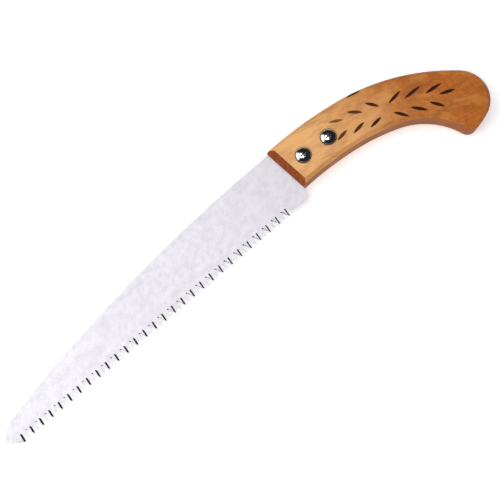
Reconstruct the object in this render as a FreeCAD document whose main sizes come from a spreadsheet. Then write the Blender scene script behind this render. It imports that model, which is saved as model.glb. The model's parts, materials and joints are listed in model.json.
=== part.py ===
import FreeCAD, Part
import math
import os

import Sketcher
from FreeCAD import Placement, Rotation, Vector

# Pruning saw lying on its far side: X runs from the blade's tip to the handle's butt,
# Y from the teeth to the spine, Z out of the near face. The front screw's axis is the
# local origin of every body; each body's Placement moves it to the middle of the saw.

SIZES = {
    "origin_shift_x": 81.364,
    "origin_shift_y": 22.057,
    "handle_thickness": 20.0,
    "handle_front_limit": -12.0,
    "handle_edge_chamfer": 2.6,
    "front_edge_chamfer": 4.3,
    "kerf_width": 1.24,
    "kerf_end_x": 36.0,
    "kerf_start_x": -30.0,
    "bore_diameter": 6.8,
    "counterbore_diameter": 12.0,
    "counterbore_depth": 1.8,
    "rear_screw_x": 21.1,
    "rear_screw_y": -1.7,
    "blade_thickness": 1.2,
    "blade_hole_diameter": 6.8,
    "tooth_pitch": 4.35,
    "tooth_tip_y": -24.3,
    "gullet_root_y": -19.3,
    "gullet_root_width": 0.8,
    "gullet_first_x": -276.0,
    "gullet_front_run": 0.4,
    "gullet_rear_run": 2.25,
    "gullet_overrun": 2.0,
    "bevel_width": 1.0,
    "bevel_rise": 0.8,
    "tooth_pairs": 28,
    "washer_diameter": 11.7,
    "washer_bore": 5.3,
    "washer_thickness": 1.1,
    "washer_bevel": 0.55,
    "washer_bevel_height": 0.8,
    "seat_gap": 0.02,
    "screw_head_diameter": 10.2,
    "screw_head_rim": 0.4,
    "screw_head_height": 2.4,
    "screw_dome_radius": 7.6,
    "screw_shank_diameter": 5.0,
    "screw_shank_length": 14.6,
    "recess_arm_length": 4.8,
    "recess_arm_width": 1.3,
    "recess_depth": 1.9,
    "recess_taper": -9.0,
    "nut_head_diameter": 11.5,
    "nut_head_thickness": 1.6,
    "nut_sink": 0.2,
    "nut_sleeve_diameter": 6.5,
    "nut_sleeve_top": 18.4,
    "nut_bore_diameter": 5.1,
    "nut_bore_floor": 3.4,
    "nut_slot_width": 1.2,
    "nut_slot_depth": 0.8,
    "gouge_depth": 0.9,
    "gouge_tool_radius": 1.0,
}

# Corner name: x, y, signed radius of the edge that leaves it (None for a straight edge,
# negative for an edge that turns to the right).
HANDLE_OUTLINE = {
    "front_top": (-17.5, 18.62, None),
    "crown_start": (-9.31, 18.62, -287.7),
    "crown_middle": (43.13, 13.80, -147.05),
    "butt_top": (118.99, -25.51, -20.81),
    "butt_bottom": (111.51, -59.99, -75.3),
    "beak_outer": (102.89, -62.57, -6.3),
    "beak_inner": (95.46, -58.4, 51.3),
    "grip_waist": (63.39, -25.86, 158.3),
    "belly_middle": (29.09, -17.51, 259.0),
    "front_bottom": (-13.3, -15.59, None),
}
BLADE_OUTLINE = {
    "spine_start": (-17.2, 18.42, 1180.0),
    "nose_top": (-274.0, -6.1, 24.0),
    "nose_front": (-286.6, -13.6, 7.0),
    "nose_turn": (-288.0, -17.8, None),
    "nose_lower": (-287.4, -19.4, 60.0),
    "last_tooth": (-277.6, -24.9, None),
    "tooth_line": (-276.6, -24.3, None),
    "heel_step_low": (-31.0, -24.3, None),
    "heel_step_high": (-31.0, -23.0, None),
    "heel_corner": (-14.8, -22.8, None),
    "heel_top": (-13.4, -16.0, None),
    "tang_lower": (-6.5, -12.0, None),
    "tang_end_low": (26.0, -9.4, 8.4),
    "tang_end_high": (26.0, 6.2, None),
    "tang_upper": (-5.0, 12.6, None),
}

# Gouge name: x, y, length, angle from the X axis, extra drop below the face.
GOUGES = {
    "crown_one": (32.35, 3.4, 12.0, -30.0, -0.3),
    "crown_two": (45.9, -0.3, 10.9, -42.0, 0.0),
    "crown_three": (58.2, -4.2, 10.5, -54.5, 0.0),
    "belly_one": (29.2, -7.0, 9.9, 8.0, 0.0),
    "belly_two": (41.0, -10.5, 10.9, 7.0, 0.0),
    "belly_three": (52.1, -15.3, 10.4, 5.0, 0.0),
    "grip_one": (73.0, -10.4, 12.1, 7.0, 0.0),
    "grip_two": (84.3, -15.9, 13.8, -2.0, 0.0),
    "grip_three": (96.5, -23.2, 13.1, -7.0, 0.0),
    "grip_four": (101.8, -31.2, 11.4, -23.0, 0.0),
    "waist_one": (68.6, -22.5, 11.3, -57.0, 0.0),
    "waist_two": (80.1, -27.6, 12.3, -52.0, 0.0),
    "waist_three": (91.1, -33.3, 11.2, -58.0, 0.0),
    "back_edge": (53.9, 10.4, 11.6, -13.0, 1.5),
}

SCREWS = {"front": ("0", "0"), "rear": ("rear_screw_x", "rear_screw_y")}

document = FreeCAD.newDocument("pruning_saw")
sheet = document.addObject("Spreadsheet::Sheet", "Dimensions")


def fill_sheet():
    """Write every size as a plain number with its name as the alias."""
    rows = dict(SIZES)
    for outline in (HANDLE_OUTLINE, BLADE_OUTLINE):
        for name, (x, y, radius) in outline.items():
            rows[f"{name}_x"] = x
            rows[f"{name}_y"] = y
            if radius is not None:
                rows[f"{name}_radius"] = abs(radius)
    for name, values in GOUGES.items():
        for word, value in zip(("x", "y", "length", "angle", "drop"), values):
            rows[f"gouge_{name}_{word}"] = value
    for row, (alias, value) in enumerate(rows.items(), start=1):
        sheet.set(f"A{row}", alias)
        sheet.set(f"B{row}", str(value))
        sheet.setAlias(f"B{row}", alias)
    document.recompute()


def cells(formula):
    """Put the sheet's name before every size named in a formula."""
    words = formula.replace("(", " ( ").replace(")", " ) ").split()
    return " ".join(f"Dimensions.{w}" if w[0].isalpha() and w != "tan" else w for w in words)


def bind(target, path, formula):
    target.setExpression(path, cells(formula))


def new_body(label, x="0", y="0"):
    body = document.addObject("PartDesign::Body", label)
    body.Label = label
    bind(body, "Placement.Base.x", f"origin_shift_x + {x}")
    bind(body, "Placement.Base.y", f"origin_shift_y + {y}")
    return body


def plane_of(body, role):
    return next(f for f in body.Origin.OriginFeatures if f.Role == role)


def new_sketch(body, label, role="XY_Plane", height=None):
    sketch = body.newObject("Sketcher::SketchObject", label)
    sketch.AttachmentSupport = [(plane_of(body, role), "")]
    sketch.MapMode = "FlatFace"
    if height is not None:
        bind(sketch, "AttachmentOffset.Base.z", height)
    return sketch


def constrain(sketch, kind, *where, formula):
    """Add a dimension and bind it to the sheet."""
    index = sketch.addConstraint(Sketcher.Constraint(kind, *where))
    bind(sketch, f"Constraints[{index}]", formula)


def pin_point(sketch, geometry, point, x, y):
    """Fix a point's place: each of x and y is (value now, formula)."""
    constrain(sketch, "DistanceX", -1, 1, geometry, point, x[0], formula=x[1])
    constrain(sketch, "DistanceY", -1, 1, geometry, point, y[0], formula=y[1])


def arc_between(start, end, radius):
    """The shorter arc from start to end, and the number of its point at the start."""
    chord = end - start
    rise = math.sqrt(radius**2 - (chord.Length / 2) ** 2)
    left = Vector(-chord.y, chord.x, 0).normalize()
    centre = (start + end) / 2 + left * math.copysign(rise, radius)
    first, last = (start, end) if radius > 0 else (end, start)
    angles = [math.atan2(p.y - centre.y, p.x - centre.x) for p in (first, last)]
    circle = Part.Circle(centre, Vector(0, 0, 1), abs(radius))
    return Part.ArcOfCircle(circle, *angles), 1 if radius > 0 else 2


def draw_outline(sketch, outline):
    """Draw a closed outline whose corners and radii come from the sheet."""
    names = list(outline)
    edges = []
    for name, following in zip(names, names[1:] + names[:1]):
        start = Vector(*outline[name][:2], 0)
        end = Vector(*outline[following][:2], 0)
        radius = outline[name][2]
        if radius is None:
            geometry, first = Part.LineSegment(start, end), 1
        else:
            geometry, first = arc_between(start, end, radius)
        edges.append((sketch.addGeometry(geometry, False), first))
    for number, name in enumerate(names):
        index, first = edges[number]
        before, before_first = edges[number - 1]
        sketch.addConstraint(Sketcher.Constraint("Coincident", before, 3 - before_first, index, first))
        x, y, radius = outline[name]
        pin_point(sketch, index, first, (x, f"{name}_x"), (y, f"{name}_y"))
        if radius is not None:
            constrain(sketch, "Radius", index, abs(radius), formula=f"{name}_radius")


def draw_polygon(sketch, corners):
    """Draw a closed polygon; each corner is ((x now, formula), (y now, formula))."""
    points = [Vector(x[0], y[0], 0) for x, y in corners]
    count = len(points)
    for number in range(count):
        sketch.addGeometry(Part.LineSegment(points[number], points[(number + 1) % count]), False)
    for number, (x, y) in enumerate(corners):
        sketch.addConstraint(Sketcher.Constraint("Coincident", (number - 1) % count, 2, number, 1))
        pin_point(sketch, number, 1, x, y)


def draw_circle(sketch, x, y, diameter):
    """Draw a circle; x, y and diameter are sheet formulas with plain starting values."""
    circle = Part.Circle(Vector(x[0], y[0], 0), Vector(0, 0, 1), diameter[0] / 2)
    index = sketch.addGeometry(circle, False)
    pin_point(sketch, index, 3, x, y)
    constrain(sketch, "Diameter", index, diameter[0], formula=diameter[1])


def size(name):
    return SIZES[name], name


def draw_screw_circles(sketch, diameter):
    draw_circle(sketch, (0.0, "0"), (0.0, "0"), size(diameter))
    draw_circle(sketch, size("rear_screw_x"), size("rear_screw_y"), size(diameter))


def add_feature(body, kind, label, sketch, bound=(), **settings):
    """Add a sketch-based feature and check that it changes the body's volume."""
    before = body.Shape.Volume if body.Tip is not None else 0.0
    feature = body.newObject(f"PartDesign::{kind}", label)
    feature.Profile = sketch
    for name, value in settings.items():
        setattr(feature, name, value)
    for name, formula in dict(bound).items():
        bind(feature, name, formula)
    document.recompute()
    if abs(feature.Shape.Volume - before) < 1e-6:
        raise RuntimeError(f"{label} changes nothing")
    return feature


def revolve_profile(body, label, corners):
    """Revolve a closed polygon in the XZ plane round the body's Z axis."""
    sketch = new_sketch(body, f"{label}_profile", "XZ_Plane")
    draw_polygon(sketch, corners)
    axis = (sketch, ["V_Axis"])
    return add_feature(body, "Revolution", label, sketch, ReferenceAxis=axis, Angle=360.0)


def chamfer_rim(body, base, label, formula, front):
    """Chamfer the rim of both flat faces: either its two front edges or all the others."""
    limit = SIZES["handle_front_limit"]
    names = []
    for number, edge in enumerate(base.Shape.Edges, start=1):
        box = edge.BoundBox
        level = any(abs(box.ZMin - z) + abs(box.ZMax - z) < 1e-3 for z in (0.0, SIZES["handle_thickness"]))
        if level and (box.XMax < limit) == front:
            names.append(f"Edge{number}")
    chamfer = body.newObject("PartDesign::Chamfer", label)
    chamfer.Base = (base, names)
    bind(chamfer, "Size", formula)
    document.recompute()
    return chamfer


def cut_gouge(body, name, side):
    """Cut one grip gouge with a torus that plunges its rim into a face."""
    prefix = f"gouge_{name}"
    reach = f"( {prefix}_length * {prefix}_length / 4 + gouge_depth * gouge_depth ) / ( 2 * gouge_depth )"
    torus = body.newObject("PartDesign::SubtractiveTorus", f"{prefix}_{side}")
    torus.AttachmentSupport = [(plane_of(body, "XY_Plane"), "")]
    torus.MapMode = "FlatFace"
    turn = Rotation(Vector(0, 0, 1), GOUGES[name][3]) * Rotation(Vector(1, 0, 0), 90)
    torus.AttachmentOffset = Placement(Vector(), turn)
    bind(torus, "AttachmentOffset.Base.x", f"{prefix}_x")
    bind(torus, "AttachmentOffset.Base.y", f"{prefix}_y")
    height = f"{reach} - gouge_depth - {prefix}_drop"
    height = f"handle_thickness + {height}" if side == "near" else f"0 - ( {height} )"
    bind(torus, "AttachmentOffset.Base.z", height)
    bind(torus, "Radius1", f"{reach} - gouge_tool_radius")
    bind(torus, "Radius2", "gouge_tool_radius")
    return torus


def make_handle():
    body = new_body("handle")
    outline = new_sketch(body, "handle_outline")
    draw_outline(outline, HANDLE_OUTLINE)
    pad = add_feature(body, "Pad", "handle_blank", outline, {"Length": "handle_thickness"})

    rim = chamfer_rim(body, pad, "long_edges", "handle_edge_chamfer", front=False)
    chamfer_rim(body, rim, "front_edges", "front_edge_chamfer", front=True)

    kerf = new_sketch(body, "kerf_section", "XZ_Plane")
    middle = SIZES["handle_thickness"] / 2
    half = SIZES["kerf_width"] / 2
    low = (middle - half, "handle_thickness / 2 - kerf_width / 2")
    high = (middle + half, "handle_thickness / 2 + kerf_width / 2")
    start, end = size("kerf_start_x"), size("kerf_end_x")
    draw_polygon(kerf, [(start, low), (end, low), (end, high), (start, high)])
    add_feature(body, "Pocket", "kerf", kerf, SideType="Symmetric", Length=100.0)

    bores = new_sketch(body, "bore_circles")
    draw_screw_circles(bores, "bore_diameter")
    add_feature(body, "Pocket", "bores", bores, Reversed=True, Type="ThroughAll")

    seats = new_sketch(body, "counterbore_circles")
    draw_screw_circles(seats, "counterbore_diameter")
    add_feature(body, "Pocket", "counterbores", seats, {"Length": "counterbore_depth"}, Reversed=True)

    for side in ("near", "far"):
        for name in GOUGES:
            before = body.Shape.Volume
            torus = cut_gouge(body, name, side)
            document.recompute()
            if before - torus.Shape.Volume < 1.0:
                raise RuntimeError(f"gouge {name} on the {side} face cuts nothing")
    return body


def cut_gullets(body, label, first, count, near, bevel):
    """Cut every second gullet, widening towards one face of the blade.

    The notch's true shape lies on the other face. From there the cut runs up and, where
    bevel is set, towards the tip, which leaves a ground bevel on the tooth in front.
    """
    side = 1 if near else -1
    sketch = new_sketch(
        body, f"{label}_notch", "XY_Plane", f"handle_thickness / 2 - {side} * blade_thickness / 2"
    )
    root, bottom = SIZES["gullet_root_y"], SIZES["tooth_tip_y"] - SIZES["gullet_overrun"]
    grow = (root - bottom) / (root - SIZES["tooth_tip_y"])
    spread = "( gullet_root_y - tooth_tip_y + gullet_overrun ) / ( gullet_root_y - tooth_tip_y )"
    middle = SIZES["gullet_first_x"] + first * SIZES["tooth_pitch"]
    half = SIZES["gullet_root_width"] / 2
    corners = []
    for sign, word in ((-1, "gullet_front_run"), (1, "gullet_rear_run")):
        x = middle + sign * half
        here = f"gullet_first_x + {first} * tooth_pitch + {sign} * gullet_root_width / 2"
        foot = (x + sign * SIZES[word] * grow, f"{here} + {sign} * {word} * {spread}")
        ends = [((x, here), (root, "gullet_root_y")), (foot, (bottom, "tooth_tip_y - gullet_overrun"))]
        corners += ends if sign < 0 else ends[::-1]
    draw_polygon(sketch, corners)
    lean = -SIZES["bevel_width"] if bevel else 0.0
    direction = Vector(lean, SIZES["bevel_rise"], side * SIZES["blade_thickness"])
    notch = add_feature(
        body, "Pocket", label, sketch,
        SideType="Symmetric", Length=8.0, UseCustomVector=True, Direction=direction,
    )
    pattern = body.newObject("PartDesign::LinearPattern", f"{label}_row")
    pattern.Originals = [notch]
    pattern.Direction = (sketch, ["H_Axis"])
    pattern.Occurrences = count
    bind(pattern, "Length", f"2 * tooth_pitch * {count - 1}")
    body.Tip = pattern
    document.recompute()


def make_blade():
    body = new_body("blade")
    height = "handle_thickness / 2 - blade_thickness / 2"
    outline = new_sketch(body, "blade_outline", "XY_Plane", height)
    draw_outline(outline, BLADE_OUTLINE)
    add_feature(body, "Pad", "blade_blank", outline, {"Length": "blade_thickness"})

    holes = new_sketch(body, "blade_holes", "XY_Plane", height)
    draw_screw_circles(holes, "blade_hole_diameter")
    add_feature(body, "Pocket", "screw_holes", holes, Reversed=True, Type="ThroughAll")

    pairs = SIZES["tooth_pairs"]
    for first, count in ((0, pairs + 1), (1, pairs)):
        for near in (True, False):
            label = f"{('even', 'odd')[first]}_gullets_{'near' if near else 'far'}"
            cut_gullets(body, label, first, count, near, bevel=near == (first == 0))
    return body


def make_washer(where):
    body = new_body(f"{where}_washer", *SCREWS[where])
    outer, bore = SIZES["washer_diameter"] / 2, SIZES["washer_bore"] / 2
    bottom = SIZES["handle_thickness"] + SIZES["seat_gap"]
    top = bottom + SIZES["washer_thickness"]
    bevel, drop = SIZES["washer_bevel"], SIZES["washer_bevel_height"]
    low = "handle_thickness + seat_gap"
    high = f"{low} + washer_thickness"
    revolve_profile(body, f"{where}_washer_ring", [
        ((bore, "washer_bore / 2"), (bottom, low)),
        ((outer, "washer_diameter / 2"), (bottom, low)),
        ((outer, "washer_diameter / 2"), (top - drop, f"{high} - washer_bevel_height")),
        ((outer - bevel, "washer_diameter / 2 - washer_bevel"), (top, high)),
        ((bore, "washer_bore / 2"), (top, high)),
    ])
    return body


def draw_screw_profile(sketch):
    """Half section of the screw: shank, flat head underside, rim and dome."""
    under = SIZES["handle_thickness"] + 2 * SIZES["seat_gap"] + SIZES["washer_thickness"]
    seat = "handle_thickness + 2 * seat_gap + washer_thickness"
    shank, head = SIZES["screw_shank_diameter"] / 2, SIZES["screw_head_diameter"] / 2
    foot, rim = under - SIZES["screw_shank_length"], under + SIZES["screw_head_rim"]
    crown = under + SIZES["screw_head_height"]
    corners = [
        ((0.0, "0"), (foot, f"{seat} - screw_shank_length")),
        ((shank, "screw_shank_diameter / 2"), (foot, f"{seat} - screw_shank_length")),
        ((shank, "screw_shank_diameter / 2"), (under, seat)),
        ((head, "screw_head_diameter / 2"), (under, seat)),
        ((head, "screw_head_diameter / 2"), (rim, f"{seat} + screw_head_rim")),
        ((0.0, "0"), (crown, f"{seat} + screw_head_height")),
    ]
    points = [Vector(x[0], y[0], 0) for x, y in corners]
    for start, end in zip(points[:4], points[1:5]):
        sketch.addGeometry(Part.LineSegment(start, end), False)
    dome, first = arc_between(points[4], points[5], SIZES["screw_dome_radius"])
    sketch.addGeometry(dome, False)
    sketch.addGeometry(Part.LineSegment(points[5], points[0]), False)
    for number, (x, y) in enumerate(corners):
        sketch.addConstraint(Sketcher.Constraint("Coincident", (number - 1) % 6, 2, number, 1))
        pin_point(sketch, number, 1, x, y)
    constrain(sketch, "Radius", 4, SIZES["screw_dome_radius"], formula="screw_dome_radius")


def arm_corner(word, side):
    """One coordinate of a cross recess's corner: half the arm's length or width, signed."""
    alias = f"recess_arm_{word}"
    return side * SIZES[alias] / 2, f"{side} * {alias} / 2"


def make_screw(where):
    body = new_body(f"{where}_screw", *SCREWS[where])
    profile = new_sketch(body, f"{where}_screw_profile", "XZ_Plane")
    draw_screw_profile(profile)
    axis = (profile, ["V_Axis"])
    add_feature(body, "Revolution", f"{where}_screw_blank", profile, ReferenceAxis=axis, Angle=360.0)

    top = "handle_thickness + 2 * seat_gap + washer_thickness + screw_head_height"
    cross = new_sketch(body, f"{where}_recess_cross", "XY_Plane", top)
    corners = []
    for side_x, side_y in ((1, 1), (-1, 1), (-1, -1), (1, -1)):
        quarter = [("length", "width"), ("width", "width"), ("width", "length")]
        if side_x * side_y < 0:
            quarter.reverse()
        corners += [(arm_corner(x, side_x), arm_corner(y, side_y)) for x, y in quarter]
    draw_polygon(cross, corners)
    depth = {"Length": "recess_depth", "TaperAngle": "recess_taper"}
    add_feature(body, "Pocket", f"{where}_recess", cross, depth)
    return body


def make_nut(where):
    body = new_body(f"{where}_sleeve_nut", *SCREWS[where])
    head, sleeve = SIZES["nut_head_diameter"] / 2, SIZES["nut_sleeve_diameter"] / 2
    bore = SIZES["nut_bore_diameter"] / 2
    bottom = SIZES["nut_sink"]
    shoulder = bottom + SIZES["nut_head_thickness"]
    floor = size("nut_bore_floor")
    top = size("nut_sleeve_top")
    revolve_profile(body, f"{where}_nut_turning", [
        ((0.0, "0"), (bottom, "nut_sink")),
        ((head, "nut_head_diameter / 2"), (bottom, "nut_sink")),
        ((head, "nut_head_diameter / 2"), (shoulder, "nut_sink + nut_head_thickness")),
        ((sleeve, "nut_sleeve_diameter / 2"), (shoulder, "nut_sink + nut_head_thickness")),
        ((sleeve, "nut_sleeve_diameter / 2"), top),
        ((bore, "nut_bore_diameter / 2"), top),
        ((bore, "nut_bore_diameter / 2"), floor),
        ((0.0, "0"), floor),
    ])
    slot = new_sketch(body, f"{where}_nut_slot_outline", "XY_Plane", "nut_sink")
    wide = (head, "nut_head_diameter / 2")
    high = (SIZES["nut_slot_width"] / 2, "nut_slot_width / 2")
    left, low = (-wide[0], f"0 - {wide[1]}"), (-high[0], f"0 - {high[1]}")
    draw_polygon(slot, [(left, low), (wide, low), (wide, high), (left, high)])
    add_feature(body, "Pocket", f"{where}_nut_slot", slot, {"Length": "nut_slot_depth"}, Reversed=True)
    return body


def export(bodies):
    """Check every object and write one STEP file per piece."""
    for item in document.Objects:
        if "Invalid" in item.State or "Error" in item.State:
            raise RuntimeError(f"{item.Label} did not compute")
    for body in bodies:
        shape = body.Shape
        if shape.isNull() or not shape.isValid() or len(shape.Solids) != 1:
            raise RuntimeError(f"{body.Label} is not one sound solid")
        shape.exportStep(f"parts/{body.Label}.step")


os.makedirs("parts", exist_ok=True)
fill_sheet()
pieces = [make_handle(), make_blade()]
for place in SCREWS:
    pieces += [make_washer(place), make_screw(place), make_nut(place)]
document.recompute()
export(pieces)
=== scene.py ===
"""Finishes a fixed-blade pruning saw: varnished wooden handle, satin blade with ground
teeth, polished screws and washers, sleeve nuts, and the studio that it lies in."""

import json
import math
from contextlib import contextmanager

import bmesh
import bpy
from mathutils import Matrix, Vector

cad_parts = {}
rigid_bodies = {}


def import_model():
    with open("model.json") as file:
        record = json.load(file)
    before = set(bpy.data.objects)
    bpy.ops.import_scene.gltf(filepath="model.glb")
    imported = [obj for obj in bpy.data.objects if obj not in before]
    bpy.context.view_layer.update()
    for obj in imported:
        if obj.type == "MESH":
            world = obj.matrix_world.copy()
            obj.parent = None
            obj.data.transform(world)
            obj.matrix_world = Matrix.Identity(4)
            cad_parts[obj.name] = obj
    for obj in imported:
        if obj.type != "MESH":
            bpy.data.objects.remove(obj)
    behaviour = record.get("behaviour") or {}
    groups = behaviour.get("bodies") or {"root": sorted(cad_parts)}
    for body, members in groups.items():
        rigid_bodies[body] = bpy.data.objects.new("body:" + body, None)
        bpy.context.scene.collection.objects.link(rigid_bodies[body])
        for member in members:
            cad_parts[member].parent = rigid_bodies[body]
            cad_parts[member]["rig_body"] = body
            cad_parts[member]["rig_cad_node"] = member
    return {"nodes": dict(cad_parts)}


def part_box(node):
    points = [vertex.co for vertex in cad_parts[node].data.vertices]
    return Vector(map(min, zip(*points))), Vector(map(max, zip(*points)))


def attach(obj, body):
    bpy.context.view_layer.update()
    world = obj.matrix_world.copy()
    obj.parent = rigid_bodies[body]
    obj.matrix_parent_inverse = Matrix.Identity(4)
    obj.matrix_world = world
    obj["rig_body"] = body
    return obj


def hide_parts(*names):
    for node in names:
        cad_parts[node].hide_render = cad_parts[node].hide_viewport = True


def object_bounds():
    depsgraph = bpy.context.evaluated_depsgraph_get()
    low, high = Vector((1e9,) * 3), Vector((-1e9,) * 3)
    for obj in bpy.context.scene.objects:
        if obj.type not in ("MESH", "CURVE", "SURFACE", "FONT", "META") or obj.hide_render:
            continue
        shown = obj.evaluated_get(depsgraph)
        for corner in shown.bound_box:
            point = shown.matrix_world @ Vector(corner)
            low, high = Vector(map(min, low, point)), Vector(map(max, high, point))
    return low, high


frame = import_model()

bl_info = {
    "name": "Pruning Saw",
    "version": (1, 0, 0),
    "blender": (4, 5, 0),
    "location": "3D View > Sidebar > Saw",
    "description": "Builds the finished pieces of a pruning saw around its measured solids",
    "category": "Object",
}

MM = 0.001
PER_METRE = 1000.0
CAD_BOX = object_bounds()


def centre_of(node):
    low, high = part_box(node)
    return (low + high) / 2


FRONT_SCREW = centre_of("front_screw")
REAR_SCREW = centre_of("rear_screw")
BLADE_MIDDLE = centre_of("blade").z
SHANK_RADIUS, SHANK_MARGIN = 2.5 * MM, 0.05 * MM
HEAD_HEIGHT, HEAD_MARGIN = 2.4 * MM, 0.01 * MM
MERGE_DISTANCE = 0.002 * MM
FLAT_ANGLE = math.radians(0.5)
CRISP_ANGLE = math.radians(28.0)
BREAK_ANGLE = math.radians(30.0)
HANDLE_SMOOTH, SMALL_SMOOTH, BLADE_SMOOTH = (math.radians(a) for a in (40.0, 35.0, 20.0))
HANDLE_WEIGHT, SMALL_WEIGHT = 50, 60

# The long chamfer along the back and the butt: its normal's Z part and how near counts, then
# the outward direction's least X anywhere, and the Y or the X that puts it on the back or butt.
CHAMFER_SLANT, SLANT_MARGIN = 0.707, 0.02
RIM_LEAST_X, RIM_BACK_Y, RIM_BUTT_X = -0.8, 0.2, 0.35

# Half width of the thread's ridge as a share of the pitch, and the steps in one turn.
RIDGE_SHARE, THREAD_STEPS = 0.46, 36

# The painted shade in the screw's cross recess and down its shank: how far it reaches from the
# axis, in millimetres, how far below the top of the head it starts and is full, and its two shades
# as shares of the plating's colour.
RECESS_REACH = 2.6
RECESS_FADE = (0.42 * MM, 0.5 * MM)
RECESS_PALE, RECESS_DARK = 0.1, 0.02

# Each plating's roughness, and how much its scratches add to it.
SCREW_FINISH, WASHER_FINISH, NUT_FINISH = (0.07, 0.12), (0.22, 0.15), (0.34, 0.2)
WOOD_ROUGHNESS, WOOD_COAT = 0.46, 0.14
STEEL_ROUGHNESS, STEEL_METALLIC = 0.56, 0.5

# Bands across the blade, as distances below the front screw: where the painted shade on the bevels
# starts and is full, and where the stronger painted shade beside the roots ends and is full.
BEVEL_SHADE_BAND = (17.6 * MM, 18.2 * MM)
ROOT_SHADE_BAND = (20.0 * MM, 18.2 * MM)
# Distances from the tip where the painted sheen on the steel starts and is strongest.
TIP_SHEEN_BAND = (150.0 * MM, 10.0 * MM)

# The wood's colour runs from this far in front of the front screw to the end of the butt,
# and its grain lies at this angle.
WOOD_START = 15.0 * MM
GRAIN_TURN = math.radians(-14.0)

FLOOR_SIZE, FLOOR_DROP = 6.0, 0.4 * MM
CAMERA_AIM = Vector((-70.25, -24.66, 0.0)) * MM
SENSOR_WIDTH = 36.0

# Each light: name, place, width and height in metres, power setting, and whether it shows
# in reflections.
LIGHTS = (
    ("overhead_softbox", (-0.17, 0.17, 1.1), 0.95, 0.95, "overhead", True),
    ("left_softbox", (-0.86, 0.72, 0.58), 1.6, 0.85, "left", True),
    ("right_fill", (0.75, -0.62, 0.80), 1.0, 0.8, "fill", False),
    ("far_fill", (-0.60, -0.75, 0.80), 1.0, 0.8, "fill", False),
)

# Each gouge: distance from the front screw along X and Y, half length and half width,
# all in millimetres, then its angle in degrees and how deeply it is burnt.
GOUGES = (
    (32.35, 3.4, 5.3, 0.95, -30.0, 0.72),
    (45.9, -0.3, 5.6, 1.13, -42.0, 0.85),
    (58.2, -4.2, 5.25, 1.13, -54.5, 0.95),
    (29.2, -7.0, 4.95, 1.13, 8.0, 0.88),
    (41.0, -10.5, 5.45, 1.13, 7.0, 0.95),
    (52.1, -15.3, 5.2, 1.13, 5.0, 1.0),
    (73.0, -10.4, 6.05, 1.13, 7.0, 0.97),
    (84.3, -15.9, 6.9, 1.13, -2.0, 0.97),
    (96.5, -23.2, 6.55, 1.13, -7.0, 1.0),
    (101.8, -31.2, 5.7, 1.13, -23.0, 1.0),
    (68.6, -22.5, 5.65, 1.13, -57.0, 1.0),
    (80.1, -27.6, 6.15, 1.13, -52.0, 1.0),
    (91.1, -33.3, 5.6, 1.13, -58.0, 1.0),
    (54.2, 10.4, 5.4, 1.0, -13.0, 1.0),
)


# ---------------------------------------------------------------- sizes and colours


def length(name, description, default):
    """A length property in metres."""
    return bpy.props.FloatProperty(
        name=name, description=description, default=default, min=0.0,
        precision=5, subtype="DISTANCE", unit="LENGTH",
    )


def number(name, description, default):
    return bpy.props.FloatProperty(name=name, description=description, default=default)


def angle(name, description, degrees):
    return bpy.props.FloatProperty(
        name=name, description=description, default=math.radians(degrees),
        subtype="ANGLE", unit="ROTATION",
    )


def colour(name, description, default):
    return bpy.props.FloatVectorProperty(
        name=name, description=description, default=default,
        size=3, min=0.0, max=1.0, subtype="COLOR",
    )


class SawSizes(bpy.types.PropertyGroup):
    """Sizes of the finishing details."""

    wood_edge: length("Wood edge", "Width of the worn edges of the handle", 0.3 * MM)
    steel_edge: length("Steel edge", "Width of the broken edge on small steel parts", 0.12 * MM)
    thread_pitch: length("Thread pitch", "Rise of the screw thread in one turn", 0.8 * MM)
    thread_depth: length("Thread depth", "Depth of the screw thread", 0.45 * MM)
    thread_turns: bpy.props.IntProperty(
        name="Thread turns", description="Turns of thread on each screw", default=14, min=1
    )


class SawColours(bpy.types.PropertyGroup):
    """Colours of the finishes."""

    wood_front: colour("Wood, front", "Pale tan wood near the blade", (0.85, 0.45, 0.165))
    wood_butt: colour("Wood, butt", "Orange brown wood at the butt", (0.53, 0.148, 0.018))
    wood_streak: colour("Wood streak", "Dark grain streaks", (0.30, 0.075, 0.012))
    wood_glow: colour("Wood glow", "Golden patches in the wood", (0.82, 0.40, 0.095))
    # Painted shade on the narrow faces of the handle's belly side.
    belly_painted_shade: colour("Belly shade", "Painted shade on the belly side", (0.26, 0.062, 0.006))
    end_grain: colour("End grain", "Stained end grain at the front", (0.20, 0.038, 0.007))
    end_streak: colour("End streak", "Lighter rings in the end grain", (0.34, 0.085, 0.016))
    burn: colour("Burn", "Scorched inside of the gouges", (0.030, 0.006, 0.003))
    blade: colour("Blade", "Satin blade steel", (0.69, 0.67, 0.715))
    blade_mottle: colour("Blade mottle", "Duller patches on the blade", (0.62, 0.605, 0.655))
    # Painted sheen: the steel is made lighter towards the tip.
    tip_painted_sheen: colour("Tip sheen", "Painted sheen, lighter steel near the tip", (0.86, 0.84, 0.90))
    blade_speck: colour("Blade specks", "Fine specks on the blade", (0.52, 0.51, 0.57))
    # Painted shade and dark reflection on the tooth bevels and at the roots of the teeth.
    bevel_painted_shade: colour("Bevel shade", "Painted shade and dark reflection on the tooth bevels", (0.014, 0.013, 0.020))
    polish: colour("Polish", "Polished plating of the screws", (0.90, 0.89, 0.88))
    # Painted shade: the washers are coloured dark for the dark ring round each screw head.
    washer_painted_shade: colour("Washer shade", "Painted shade on the washers", (0.16, 0.15, 0.15))
    zinc: colour("Zinc", "Plain plated steel of the nuts", (0.62, 0.62, 0.63))
    floor: colour("Floor", "Pale studio floor", (0.97, 0.97, 0.97))


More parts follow.
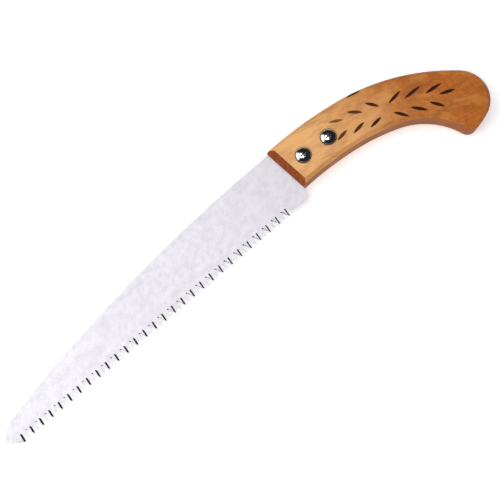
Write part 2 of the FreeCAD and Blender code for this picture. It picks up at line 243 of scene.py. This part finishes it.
class SawStudio(bpy.types.PropertyGroup):
    """Camera and light."""

    lens: number("Lens", "Focal length in millimetres", 49.68)
    distance: length("Distance", "Camera to the middle of the view", 481.6 * MM)
    azimuth: angle("Azimuth", "Camera's turn round the saw", 4.93)
    elevation: angle("Elevation", "Camera's height above the floor", 81.6)
    roll: angle("Roll", "Turn of the saw in the view", 40.07)
    overhead: number("Overhead", "Power of the overhead softbox in watts", 9.7)
    left: number("Left", "Power of the left softbox in watts", 6.0)
    fill: number("Fill", "Power of each fill light in watts", 3.2)
    air: number("Air", "Strength of the surrounding light", 0.02)
    glow: number("Glow", "Light that comes through the floor", 0.28)


# ---------------------------------------------------------------- shader building


class Wire:
    """A shader socket that works in Python expressions."""

    def __init__(self, shader, socket):
        self.shader = shader
        self.socket = socket

    def maths(self, operation, *values):
        inputs = dict(enumerate(values))
        return self.shader.node("ShaderNodeMath", {"operation": operation}, inputs)

    def __add__(self, other):
        return self.maths("ADD", self, other)

    def __radd__(self, other):
        return self.maths("ADD", other, self)

    def __sub__(self, other):
        return self.maths("SUBTRACT", self, other)

    def __rsub__(self, other):
        return self.maths("SUBTRACT", other, self)

    def __mul__(self, other):
        return self.maths("MULTIPLY", self, other)

    def __rmul__(self, other):
        return self.maths("MULTIPLY", other, self)

    def __truediv__(self, other):
        return self.maths("DIVIDE", self, other)

    def __neg__(self):
        return self.maths("MULTIPLY", self, -1.0)

    def __abs__(self):
        return self.maths("ABSOLUTE", self)


class Shader:
    """One material and its nodes."""

    def __init__(self, name, **constants):
        self.material = bpy.data.materials.new(name)
        self.material.use_nodes = True
        self.tree = self.material.node_tree
        self.surface = self.tree.nodes["Principled BSDF"]
        self.feed(self.surface, constants)
        self.point = self.node("ShaderNodeTexCoord", output="Object")
        axes = self.node("ShaderNodeSeparateXYZ", inputs={0: self.point}, output=None)
        self.x, self.y, self.z = (Wire(self, axes.outputs[n]) for n in range(3))

    def feed(self, node, inputs):
        for key, value in inputs.items():
            socket = node.inputs[key]
            if isinstance(value, Wire):
                self.tree.links.new(value.socket, socket)
            elif hasattr(socket.default_value, "__len__") and len(socket.default_value) == 4:
                socket.default_value = (*value, 1.0) if len(value) == 3 else value
            else:
                socket.default_value = value

    def node(self, kind, settings=None, inputs=None, output=0):
        """Add a node: settings first, then its sockets' values or links."""
        node = self.tree.nodes.new(kind)
        for key, value in (settings or {}).items():
            setattr(node, key, value)
        self.feed(node, inputs or {})
        return node if output is None else Wire(self, node.outputs[output])

    def stretched(self, scale, turn=0.0):
        """Object coordinates scaled per axis and turned about Z."""
        inputs = {"Vector": self.point, "Rotation": (0.0, 0.0, turn), "Scale": scale}
        return self.node("ShaderNodeMapping", {"vector_type": "TEXTURE"}, inputs)

    def noise(self, sizes, turn=0.0, detail=3.0, roughness=0.55, warp=0.0):
        """Noise whose features are about the given sizes, in metres, along each axis."""
        inputs = {
            "Vector": self.stretched(sizes, turn), "Scale": 1.0, "Detail": detail,
            "Roughness": roughness, "Distortion": warp,
        }
        return self.node("ShaderNodeTexNoise", inputs=inputs)

    def ramp(self, value, low, high):
        """0 below low, 1 above high, smooth between."""
        inputs = {"Value": value, "From Min": low, "From Max": high}
        return self.node("ShaderNodeMapRange", {"interpolation_type": "SMOOTHSTEP"}, inputs)

    def mix(self, factor, first, second):
        """The first colour at 0 and the second at 1."""
        inputs = {"Factor": factor, 6: first, 7: second}
        return self.node("ShaderNodeMix", {"data_type": "RGBA"}, inputs, output=2)

    def larger(self, first, second):
        return self.node("ShaderNodeMath", {"operation": "MAXIMUM"}, {0: first, 1: second})

    def normal_axes(self):
        """The surface normal's parts in the piece's own axes."""
        normal = self.node("ShaderNodeTexCoord", output="Normal")
        axes = self.node("ShaderNodeSeparateXYZ", inputs={0: normal}, output=None)
        return [Wire(self, axes.outputs[n]) for n in range(3)]

    def bump(self, height, distance):
        """A normal bent by a height between 0 and 1, where 1 stands for the distance in metres."""
        inputs = {"Height": height, "Distance": distance, "Strength": 1.0}
        return self.node("ShaderNodeBump", inputs=inputs)

    def finish(self, **links):
        """Link the surface's sockets, named with underscores, and return the material."""
        self.feed(self.surface, {key.replace("_", " "): value for key, value in links.items()})
        return self.material


def burnt_mask(shader, soften):
    """1 inside the gouges and 0 outside, with an edge as wide as soften, in millimetres."""
    x = (shader.x - FRONT_SCREW.x) * PER_METRE
    y = (shader.y - FRONT_SCREW.y) * PER_METRE
    total = None
    for along, across, half_length, half_width, degrees, depth in GOUGES:
        c, s = math.cos(math.radians(degrees)), math.sin(math.radians(degrees))
        u = (x - along) * c + (y - across) * s
        v = (y - across) * c - (x - along) * s
        inside = half_width * (1.0 - u * u / half_length**2) - abs(v)
        one = shader.ramp(inside, -soften, soften) * depth
        total = one if total is None else shader.larger(total, one)
    return total


def varnished_wood(colours):
    """Straight-grained hardwood, darker towards the butt, with scorched gouges and painted shade
    on the belly side.
    """
    shader = Shader("varnished_wood", **{"Coat Roughness": 0.2, "Specular IOR Level": 0.2})
    turn = GRAIN_TURN
    start, end = FRONT_SCREW.x - WOOD_START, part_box("handle")[1].x
    along = shader.ramp(shader.x, start, end)
    cloud = shader.noise((0.045, 0.018, 0.018), turn, 2.0)
    blotch = shader.noise((0.020, 0.007, 0.012), turn, 3.0, 0.6, 0.4)
    streak = shader.noise((0.050, 0.0016, 0.004), turn, 4.0, 0.6, 0.25)
    fine = shader.noise((0.010, 0.00045, 0.0008), turn, 2.0, 0.5)
    curl = shader.noise((0.0016, 0.0048, 0.004), turn + 0.5, 3.0, 0.6, 1.2)
    pore = shader.noise((0.0030, 0.00025, 0.0005), turn, 1.0, 0.5)

    tone = along * 0.95 + (cloud - 0.5) * 0.8
    base = shader.mix(shader.ramp(tone, 0.05, 0.95), colours.wood_front, colours.wood_butt)
    grain = shader.ramp(streak, 0.46, 0.72) * (0.14 + along * 0.2)
    streaks = grain + shader.ramp(blotch, 0.42, 0.68) * (0.32 + along * 0.16)
    base = shader.mix(streaks, base, colours.wood_streak)
    curls = shader.ramp(curl, 0.44, 0.64) * shader.ramp(along, 0.4, 0.95) * 0.5
    base = shader.mix(curls, base, colours.wood_streak)
    lines = shader.ramp(fine, 0.4, 0.7) * (0.14 + along * 0.16)
    base = shader.mix(lines, base, colours.wood_streak)
    pores = shader.ramp(pore, 0.66, 0.74)
    base = shader.mix(pores * 0.3, base, colours.end_grain)
    glow = shader.noise((0.014, 0.010, 0.010), turn - 0.6, 3.0, 0.6, 0.5)
    base = shader.mix(shader.ramp(glow, 0.48, 0.72) * 0.3, base, colours.wood_glow)

    nx, ny, nz = shader.normal_axes()
    rings = shader.noise((0.02, 0.0016, 0.0010), turn, 4.0, 0.65)
    near_end = shader.ramp(shader.x, start + 10.0 * MM, start + 4.0 * MM)
    cut_end = shader.ramp(-nx, 0.35, 0.6) * near_end
    light_rings = shader.ramp(rings, 0.4, 0.6) * 0.9
    grain_end = shader.mix(light_rings, colours.end_grain, colours.end_streak)
    base = shader.mix(cut_end, base, grain_end)
    # Painted shade on the belly side: the narrow faces that look towards -Y are darkened, the end
    # grain left out; the coat is also duller there.
    side = shader.ramp(abs(nz), 0.85, 0.3) * (1.0 - cut_end) * shader.ramp(-ny, -0.1, 0.3)
    base = shader.mix(side * (0.88 - along * 0.2), base, colours.belly_painted_shade)

    scorch = burnt_mask(shader, 0.1)
    halo = burnt_mask(shader, 0.5)
    face = shader.ramp(abs(nz), 0.05, 0.25)
    base = shader.mix(halo * face * 0.45, base, colours.wood_streak)
    base = shader.mix(scorch * face * 0.97, base, colours.burn)

    relief = streak * 0.5 + fine * 0.35 - pores * 0.8 + cloud * 0.6
    return shader.finish(
        Base_Color=base,
        Roughness=WOOD_ROUGHNESS + scorch * 0.3 + (blotch - 0.5) * 0.12 + (cut_end + side) * 0.15,
        Coat_Weight=WOOD_COAT * (1.0 - scorch) * (1.0 - cut_end * 0.6) * (1.0 - side * 0.9),
        Normal=shader.bump(relief, 0.00005),
    )


def satin_steel(colours):
    """Pale plated blade steel, faint lengthwise brushing, ground tooth bevels with painted shade,
    painted sheen at the tip.
    """
    shader = Shader("satin_blade_steel")
    nx, ny, nz = shader.normal_axes()
    brush = shader.noise((0.030, 0.00025, 0.01), 0.0, 3.0, 0.6)
    mottle = shader.noise((0.0045, 0.0035, 0.004), 0.3, 4.0, 0.65)
    speck = shader.noise((0.0008, 0.0007, 0.0006), 0.0, 2.0, 0.5)
    # Painted shade and dark reflection on the tooth bevels: full on the bevels that face +X and at
    # the roots, weaker on those that face -X, stronger near the roots.
    teeth = shader.ramp(shader.y, *(FRONT_SCREW.y - drop for drop in BEVEL_SHADE_BAND))
    slanted = shader.ramp(abs(nz), 0.25, 0.4)
    bevel = shader.ramp(abs(nx), 0.25, 0.4) * teeth * slanted
    front_bevel = shader.ramp(nx, 0.25, 0.4) * slanted
    root = shader.ramp(-ny, 0.4, 0.55) * slanted
    by_root = shader.ramp(shader.y, *(FRONT_SCREW.y - drop for drop in ROOT_SHADE_BAND))
    back_bevel = shader.ramp(-nx, 0.25, 0.4) * slanted * (by_root * 0.65 + 0.25)
    dark = shader.larger(shader.larger(front_bevel, root), back_bevel) * teeth
    # Painted sheen: the steel is made lighter towards the tip.
    tip = shader.ramp(shader.x, *(CAD_BOX[0].x + gap for gap in TIP_SHEEN_BAND))
    base = shader.mix(tip * 0.75, colours.blade, colours.tip_painted_sheen)
    base = shader.mix(shader.ramp(mottle, 0.35, 0.7) * 0.45, base, colours.blade_mottle)
    base = shader.mix(shader.ramp(speck, 0.5, 0.75) * 0.45, base, colours.blade_speck)
    base = shader.mix(dark, base, colours.bevel_painted_shade)
    return shader.finish(
        Base_Color=base,
        Metallic=STEEL_METALLIC - bevel * 0.1,
        Roughness=STEEL_ROUGHNESS + (brush - 0.5) * 0.2 + (mottle - 0.5) * 0.2 - bevel * 0.2,
        Normal=shader.bump(brush * 0.5 + mottle * 0.5, 0.00002),
    )


def plated(name, shade, roughness, scratch, recessed=False):
    """Bright plating with hairline scratches and stains, and painted shade where recessed."""
    shader = Shader(name, Metallic=1.0)
    fine = shader.noise((0.006, 0.00012, 0.006), 0.6, 2.0, 0.6)
    cross = shader.noise((0.00014, 0.005, 0.006), -0.4, 2.0, 0.6)
    stain = shader.noise((0.0025, 0.0022, 0.0025), 0.0, 3.0, 0.6)
    dull = tuple(channel * 0.72 for channel in shade)
    base = shader.mix(shader.ramp(stain, 0.4, 0.8) * 0.4, tuple(shade), dull)
    rough = roughness + (stain - 0.5) * 0.08 + shader.ramp(fine, 0.62, 0.7) * scratch
    if recessed:
        # Painted shade in the cross recess and on the shank, mottled by noise between two dark
        # shades.
        inside = recess_shade_mask(shader)
        recess_shade_noise = shader.noise((0.0009, 0.0009, 0.0009), 0.0, 2.0, 0.5)
        floor = shader.mix(
            shader.ramp(recess_shade_noise, 0.45, 0.65), tuple(channel * RECESS_PALE for channel in shade),
            tuple(channel * RECESS_DARK for channel in shade),
        )
        base = shader.mix(inside, base, floor)
        rough = rough + inside * 0.25
    return shader.finish(
        Base_Color=base, Roughness=rough, Normal=shader.bump(fine * 0.5 + cross * 0.5, 0.000004)
    )


def recess_shade_mask(shader):
    """1 near either screw's axis and below the dome, where shade is painted: the cross recess and
    the whole shank.
    """
    near = None
    for axis in (FRONT_SCREW, REAR_SCREW):
        x, y = (shader.x - axis.x) * PER_METRE, (shader.y - axis.y) * PER_METRE
        one = shader.ramp(x * x + y * y, RECESS_REACH**2 + 0.3, RECESS_REACH**2)
        near = one if near is None else shader.larger(near, one)
    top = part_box("front_screw")[1].z
    return near * shader.ramp(shader.z, *(top - drop for drop in RECESS_FADE))


# ---------------------------------------------------------------- modelling helpers


def pick(*pieces):
    """Select only these pieces and make the first one active."""
    bpy.ops.object.select_all(action="DESELECT")
    for piece in pieces:
        piece.select_set(True)
    bpy.context.view_layer.objects.active = pieces[0]


@contextmanager
def editing(piece, select="SELECT"):
    """Edit mode on one piece, with everything or nothing selected at the start."""
    pick(piece)
    bpy.ops.object.mode_set(mode="EDIT")
    bpy.ops.mesh.select_all(action=select)
    yield
    bpy.ops.object.mode_set(mode="OBJECT")


def named(piece, name):
    piece.name = name
    piece.data.name = name
    return piece


def merged_copy(node, name):
    """A copy of a measured solid with its loose triangles joined into clean faces."""
    pick(frame["nodes"][node])
    bpy.ops.object.duplicate()
    piece = named(bpy.context.active_object, name)
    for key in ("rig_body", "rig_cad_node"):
        if key in piece:
            del piece[key]
    piece.parent = None
    piece.matrix_world = Matrix.Identity(4)
    with editing(piece):
        bpy.ops.mesh.remove_doubles(threshold=MERGE_DISTANCE)
        bpy.ops.mesh.dissolve_limited(angle_limit=FLAT_ANGLE)
    return piece


def apply_modifier(piece, kind, **settings):
    pick(piece)
    modifier = piece.modifiers.new(kind.title(), kind)
    for key, value in settings.items():
        setattr(modifier, key, value)
    bpy.ops.object.modifier_apply(modifier=modifier.name)


def break_edges(piece, width):
    """Break every sharp edge."""
    apply_modifier(
        piece, "BEVEL", width=width, segments=2, limit_method="ANGLE",
        angle_limit=BREAK_ANGLE, use_clamp_overlap=True, miter_outer="MITER_ARC",
    )


def smooth_by_angle(piece, angle):
    pick(piece)
    bpy.ops.object.shade_smooth_by_angle(angle=angle)


def shade(piece):
    """Shade the curves smooth and keep the large faces flat."""
    smooth_by_angle(piece, SMALL_SMOOTH)
    apply_modifier(piece, "WEIGHTED_NORMAL", keep_sharp=True, weight=SMALL_WEIGHT)


def soften(piece, width):
    """Break the sharp edges and shade the curves smooth."""
    break_edges(piece, width)
    shade(piece)


def dress(piece, body, material, node):
    """Give a finished piece its material and its body, and hide the solid that it stands for."""
    piece.data.materials.clear()
    piece.data.materials.append(material)
    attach(piece, body)
    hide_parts(node)


def on_soft_rim(first, second):
    """True between two faces of the long chamfer along the back and the butt."""
    slanted, other = sorted((first, second), key=lambda normal: abs(abs(normal.z) - CHAMFER_SLANT))
    flat = abs(other.z) > 1.0 - SLANT_MARGIN or abs(other.z) < SLANT_MARGIN
    if not flat or abs(abs(slanted.z) - CHAMFER_SLANT) > SLANT_MARGIN:
        return False
    outward = Vector((slanted.x, slanted.y)).normalized()
    behind = outward.y > RIM_BACK_Y or outward.x > RIM_BUTT_X
    return outward.x > RIM_LEAST_X and behind


def crisp(first, second):
    """True where two faces meet at an edge that wear would round off."""
    return first.angle(second, 0.0) > CRISP_ANGLE and not on_soft_rim(first, second)


def select_edges(piece, wanted):
    """In edit mode, select the edges whose two faces' normals pass the test."""
    mesh = bmesh.from_edit_mesh(piece.data)
    for edge in mesh.edges:
        normals = [face.normal for face in edge.link_faces]
        edge.select_set(len(normals) == 2 and wanted(*normals))
    bmesh.update_edit_mesh(piece.data)


# ---------------------------------------------------------------- operators


class SAW_OT_handle(bpy.types.Operator):
    """Make the varnished wooden handle"""

    bl_idname = "saw.handle"
    bl_label = "Handle"

    def execute(self, context):
        piece = merged_copy("handle", "varnished_handle")
        with editing(piece, "DESELECT"):
            bpy.ops.mesh.select_mode(type="EDGE")
            select_edges(piece, crisp)
            bpy.ops.mesh.bevel(
                offset=context.scene.saw_sizes.wood_edge, segments=2, clamp_overlap=True
            )
        smooth_by_angle(piece, HANDLE_SMOOTH)
        with editing(piece, "DESELECT"):
            select_edges(piece, on_soft_rim)
            bpy.ops.mesh.mark_sharp(clear=True)
        apply_modifier(piece, "WEIGHTED_NORMAL", keep_sharp=True, weight=HANDLE_WEIGHT)
        dress(piece, "saw", varnished_wood(context.scene.saw_colours), "handle")
        return {"FINISHED"}


class SAW_OT_blade(bpy.types.Operator):
    """Make the satin blade with its ground teeth"""

    bl_idname = "saw.blade"
    bl_label = "Blade"

    def execute(self, context):
        piece = merged_copy("blade", "toothed_blade")
        smooth_by_angle(piece, BLADE_SMOOTH)
        dress(piece, "saw", satin_steel(context.scene.saw_colours), "blade")
        return {"FINISHED"}


def thread_on(node, sizes):
    """A helical ridge round a screw's shank, closed at both ends."""
    axis = centre_of(node)
    ridge = sizes.thread_pitch * RIDGE_SHARE
    bpy.ops.object.select_all(action="DESELECT")
    bpy.ops.mesh.primitive_circle_add(
        vertices=4, radius=ridge, fill_type="NOTHING",
        location=(SHANK_RADIUS - ridge, 0.0, 0.0), rotation=(math.pi / 2, 0.0, 0.0),
    )
    thread = named(bpy.context.active_object, f"{node}_thread")
    bpy.ops.object.transform_apply(location=True, rotation=True, scale=True)
    apply_modifier(
        thread, "SCREW", axis="Z", angle=math.tau, screw_offset=sizes.thread_pitch,
        iterations=sizes.thread_turns, steps=THREAD_STEPS, render_steps=THREAD_STEPS,
        use_merge_vertices=False,
    )
    with editing(thread, "DESELECT"):
        bpy.ops.mesh.select_mode(type="EDGE")
        bpy.ops.mesh.select_non_manifold()
        bpy.ops.mesh.fill_holes(sides=4)
        bpy.ops.mesh.select_all(action="SELECT")
        bpy.ops.mesh.normals_make_consistent(inside=False)
    thread.location = (axis.x, axis.y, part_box(node)[0].z + sizes.thread_pitch)
    pick(thread)
    bpy.ops.object.transform_apply(location=True, rotation=False, scale=False)
    return thread


def waist_shank(piece, node, sizes):
    """Turn the plain shank down to the root of the thread."""
    axis, head_base = centre_of(node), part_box(node)[1].z - HEAD_HEIGHT
    with editing(piece, "DESELECT"):
        bpy.ops.mesh.select_mode(type="VERT")
        mesh = bmesh.from_edit_mesh(piece.data)
        for vertex in mesh.verts:
            radius = math.hypot(vertex.co.x - axis.x, vertex.co.y - axis.y)
            below = vertex.co.z < head_base + HEAD_MARGIN
            vertex.select_set(radius < SHANK_RADIUS + SHANK_MARGIN and below)
        bmesh.update_edit_mesh(piece.data)
        ratio = 1.0 - sizes.thread_depth / SHANK_RADIUS
        bpy.ops.transform.resize(value=(ratio, ratio, 1.0), center_override=axis)


class SAW_OT_screws(bpy.types.Operator):
    """Make both domed cross-recess screws with their threads"""

    bl_idname = "saw.screws"
    bl_label = "Screws"

    def execute(self, context):
        sizes = context.scene.saw_sizes
        polish = context.scene.saw_colours.polish
        material = plated("polished_plating", polish, *SCREW_FINISH, recessed=True)
        for place in ("front", "rear"):
            node = f"{place}_screw"
            piece = merged_copy(node, f"{place}_domed_screw")
            waist_shank(piece, node, sizes)
            break_edges(piece, sizes.steel_edge)
            pick(piece, thread_on(node, sizes))
            bpy.ops.object.join()
            shade(piece)
            dress(piece, node, material, node)
        return {"FINISHED"}


class SAW_OT_washers(bpy.types.Operator):
    """Make both polished washers"""

    bl_idname = "saw.washers"
    bl_label = "Washers"

    def execute(self, context):
        # The washers take the painted shade colour, which makes a dark ring round each head.
        material = plated("washer_plating", context.scene.saw_colours.washer_painted_shade, *WASHER_FINISH)
        for place in ("front", "rear"):
            piece = merged_copy(f"{place}_washer", f"{place}_finishing_washer")
            soften(piece, context.scene.saw_sizes.steel_edge)
            dress(piece, f"{place}_washer", material, f"{place}_washer")
        return {"FINISHED"}


class SAW_OT_nuts(bpy.types.Operator):
    """Make both sleeve nuts on the far side"""

    bl_idname = "saw.nuts"
    bl_label = "Sleeve nuts"

    def execute(self, context):
        material = plated("zinc_plating", context.scene.saw_colours.zinc, *NUT_FINISH)
        for place in ("front", "rear"):
            piece = merged_copy(f"{place}_sleeve_nut", f"{place}_slotted_nut")
            soften(piece, context.scene.saw_sizes.steel_edge)
            dress(piece, "saw", material, f"{place}_sleeve_nut")
        return {"FINISHED"}


def add_softbox(name, place, width, height, power, mirrored):
    """A rectangular light that faces the saw; unmirrored ones stay out of reflections."""
    bpy.ops.object.light_add(type="AREA", location=place)
    light = bpy.context.active_object
    light.name = name
    light.data.shape = "RECTANGLE"
    light.data.size, light.data.size_y = width, height
    light.data.energy = power
    light.rotation_euler = (-Vector(place)).to_track_quat("-Z", "Y").to_euler()
    light.visible_glossy = mirrored


class SAW_OT_studio(bpy.types.Operator):
    """Make the floor, the lights and the camera"""

    bl_idname = "saw.studio"
    bl_label = "Studio"

    def execute(self, context):
        studio = context.scene.saw_studio
        bpy.ops.object.select_all(action="DESELECT")
        bpy.ops.mesh.primitive_plane_add(size=FLOOR_SIZE, location=(0.0, 0.0, -FLOOR_DROP))
        floor = named(bpy.context.active_object, "studio_floor")
        with editing(floor):
            bpy.ops.mesh.subdivide(number_cuts=3)
        paper = Shader(
            "floor_paper", Roughness=0.9,
            **{"Emission Color": (1.0, 1.0, 1.0), "Emission Strength": studio.glow},
        )
        fibre = paper.noise((0.05, 0.05, 0.05), 0.0, 2.0)
        pale = context.scene.saw_colours.floor
        base = paper.mix(fibre * 0.03, tuple(pale), tuple(channel * 0.95 for channel in pale))
        floor.data.materials.append(paper.finish(Base_Color=base))

        world = bpy.data.worlds.new("studio_air")
        context.scene.world = world
        world.use_nodes = True
        air = world.node_tree.nodes["Background"]
        air.inputs["Color"].default_value = (0.9, 0.93, 1.0, 1.0)
        air.inputs["Strength"].default_value = studio.air
        context.scene.view_settings.view_transform = "Standard"

        for name, place, width, height, power, mirrored in LIGHTS:
            add_softbox(name, place, width, height, getattr(studio, power), mirrored)

        back = Vector((
            math.sin(studio.azimuth) * math.cos(studio.elevation),
            -math.cos(studio.azimuth) * math.cos(studio.elevation),
            math.sin(studio.elevation),
        ))
        upright = Vector((math.sin(studio.roll), math.cos(studio.roll), 0.0))
        right = upright.cross(back).normalized()
        turned = Matrix((right, back.cross(right), back)).transposed()
        aim = FRONT_SCREW + CAMERA_AIM
        aim.z = BLADE_MIDDLE
        bpy.ops.object.camera_add(location=aim + back * studio.distance)
        camera = bpy.context.active_object
        camera.name = "studio_camera"
        camera.rotation_euler = turned.to_euler()
        camera.data.lens = studio.lens
        camera.data.sensor_width = SENSOR_WIDTH
        context.scene.camera = camera
        return {"FINISHED"}


class SAW_PT_panel(bpy.types.Panel):
    """Buttons and settings for the saw"""

    bl_label = "Pruning Saw"
    bl_idname = "SAW_PT_panel"
    bl_space_type = "VIEW_3D"
    bl_region_type = "UI"
    bl_category = "Saw"

    def draw(self, context):
        for operator in OPERATORS:
            self.layout.operator(operator.bl_idname)
        for group in ("saw_sizes", "saw_colours", "saw_studio"):
            settings = getattr(context.scene, group)
            column = self.layout.column()
            for name in settings.__annotations__:
                column.prop(settings, name)


OPERATORS = (
    SAW_OT_handle, SAW_OT_blade, SAW_OT_screws, SAW_OT_washers, SAW_OT_nuts, SAW_OT_studio
)
GROUPS = {"saw_sizes": SawSizes, "saw_colours": SawColours, "saw_studio": SawStudio}


def register():
    for item in (*GROUPS.values(), *OPERATORS, SAW_PT_panel):
        bpy.utils.register_class(item)
    for name, group in GROUPS.items():
        setattr(bpy.types.Scene, name, bpy.props.PointerProperty(type=group))


def unregister():
    for name in GROUPS:
        delattr(bpy.types.Scene, name)
    for item in (SAW_PT_panel, *reversed(OPERATORS), *reversed(GROUPS.values())):
        bpy.utils.unregister_class(item)


def main():
    register()
    for operator in OPERATORS:
        family, name = operator.bl_idname.split(".")
        getattr(getattr(bpy.ops, family), name)()


if __name__ == "__main__":
    main()
